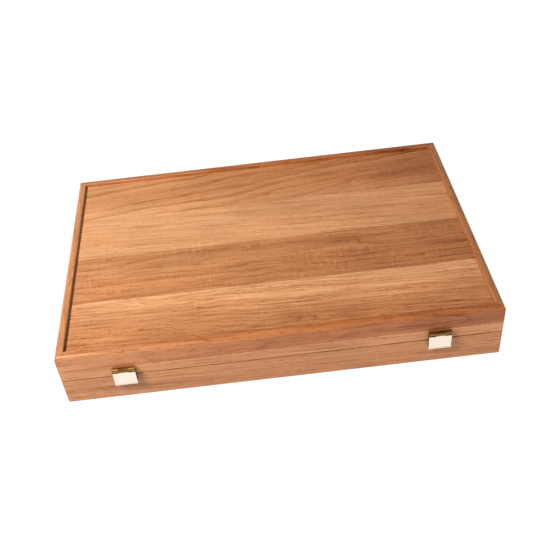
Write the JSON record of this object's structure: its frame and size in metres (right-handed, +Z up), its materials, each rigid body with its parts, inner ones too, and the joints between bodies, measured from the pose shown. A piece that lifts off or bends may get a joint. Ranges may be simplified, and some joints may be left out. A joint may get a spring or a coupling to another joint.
{
  "type": "backgammon case",
  "caption": "Folding wooden backgammon case with hinged halves, snap clasps, inlaid points and side racks for checkers and dice.",
  "frame": {"origin": "centre of the closed case's wooden footprint, on the surface that it rests on", "axes": "+X along the hinge line, from the left clasp to the right clasp; -Y out of the front, where the clasps are; +Z up"},
  "size_m": [0.48, 0.3157, 0.076],
  "materials": {
    "walnut": "satin lacquered walnut veneer",
    "field_wood": "satin lacquered walnut",
    "light_inlay": "satin lacquered pale veneer",
    "dark_inlay": "satin lacquered dark veneer",
    "brass": "polished",
    "polished_brass": "bright polished",
    "fastener_brass": "plated",
    "spring_steel": "bright",
    "pin_steel": "brass plated",
    "light_checker_wood": "lacquered pale wood",
    "dark_checker_wood": "lacquered dark wood",
    "light_die": "gloss",
    "dark_die": "gloss",
    "cube": "gloss"
  },
  "bodies": {
    "base": {"base_front_wall": "walnut", "base_back_wall": "walnut", "base_left_wall": "walnut", "base_right_wall": "walnut", "base_panel": "walnut", "base_field": "field_wood", "base_light_points": "light_inlay", "base_dark_points": "dark_inlay", "base_rack_floor": "field_wood", "base_rack_rail": "walnut", "base_left_divider": "walnut", "base_right_divider": "walnut", "hinge_left_base_leaf": "brass", "hinge_right_base_leaf": "brass", "hinge_left_pin": "pin_steel", "hinge_right_pin": "pin_steel", "base_hinge_screws": "fastener_brass", "left_catch": "brass", "right_catch": "brass", "catch_nails": "fastener_brass"},
    "lid": {"lid_front_wall": "walnut", "lid_back_wall": "walnut", "lid_left_wall": "walnut", "lid_right_wall": "walnut", "lid_panel": "walnut", "lid_field": "field_wood", "lid_light_points": "light_inlay", "lid_dark_points": "dark_inlay", "lid_rack_floor": "field_wood", "lid_rack_rail": "walnut", "lid_left_divider": "walnut", "lid_right_divider": "walnut", "hinge_left_lid_leaf": "brass", "hinge_right_lid_leaf": "brass", "lid_hinge_screws": "fastener_brass", "left_clasp_plate": "brass", "right_clasp_plate": "brass", "left_clasp_pin": "pin_steel", "right_clasp_pin": "pin_steel", "clasp_plate_nails": "fastener_brass"},
    "left_flap": {"left_clasp_flap": "polished_brass", "left_clasp_tongue": "spring_steel"},
    "right_flap": {"right_clasp_flap": "polished_brass", "right_clasp_tongue": "spring_steel"},
    "light_row": {"light_checkers": "light_checker_wood"},
    "dark_row": {"dark_checkers": "dark_checker_wood"},
    "light_die_1": {"light_die_1": "light_die"},
    "light_die_2": {"light_die_2": "light_die"},
    "dark_die_1": {"dark_die_1": "dark_die"},
    "dark_die_2": {"dark_die_2": "dark_die"},
    "doubling_cube": {"doubling_cube": "cube"}
  },
  "joints": [
    {"name": "lid_hinge", "type": "hinge", "parent": "base", "child": "lid", "pos_m": [0, 0.1542, 0.038], "axis": [-1, 0, 0], "range_deg": [0, 180]},
    {"name": "left_clasp_hinge", "type": "hinge", "parent": "lid", "child": "left_flap", "pos_m": [-0.1705, -0.1568, 0.05], "axis": [-1, 0, 0], "range_deg": [0, 150]},
    {"name": "right_clasp_hinge", "type": "hinge", "parent": "lid", "child": "right_flap", "pos_m": [0.1705, -0.1568, 0.05], "axis": [-1, 0, 0], "range_deg": [0, 150]},
    {"name": "light_row_slide", "type": "slide", "parent": "base", "child": "light_row", "axis": [1, 0, 0], "range_m": [0, 0.0425]},
    {"name": "dark_row_slide", "type": "slide", "parent": "base", "child": "dark_row", "axis": [-1, 0, 0], "range_m": [0, 0.0425]},
    {"name": "light_die_1_lift", "type": "slide", "parent": "base", "child": "light_die_1", "axis": [0, 0, 1], "range_m": [0, 0.026]},
    {"name": "light_die_2_lift", "type": "slide", "parent": "base", "child": "light_die_2", "axis": [0, 0, 1], "range_m": [0, 0.026]},
    {"name": "dark_die_1_lift", "type": "slide", "parent": "base", "child": "dark_die_1", "axis": [0, 0, 1], "range_m": [0, 0.026]},
    {"name": "dark_die_2_lift", "type": "slide", "parent": "base", "child": "dark_die_2", "axis": [0, 0, 1], "range_m": [0, 0.026]},
    {"name": "doubling_cube_lift", "type": "slide", "parent": "base", "child": "doubling_cube", "axis": [0, 0, 1], "range_m": [0, 0.026]}
  ]
}
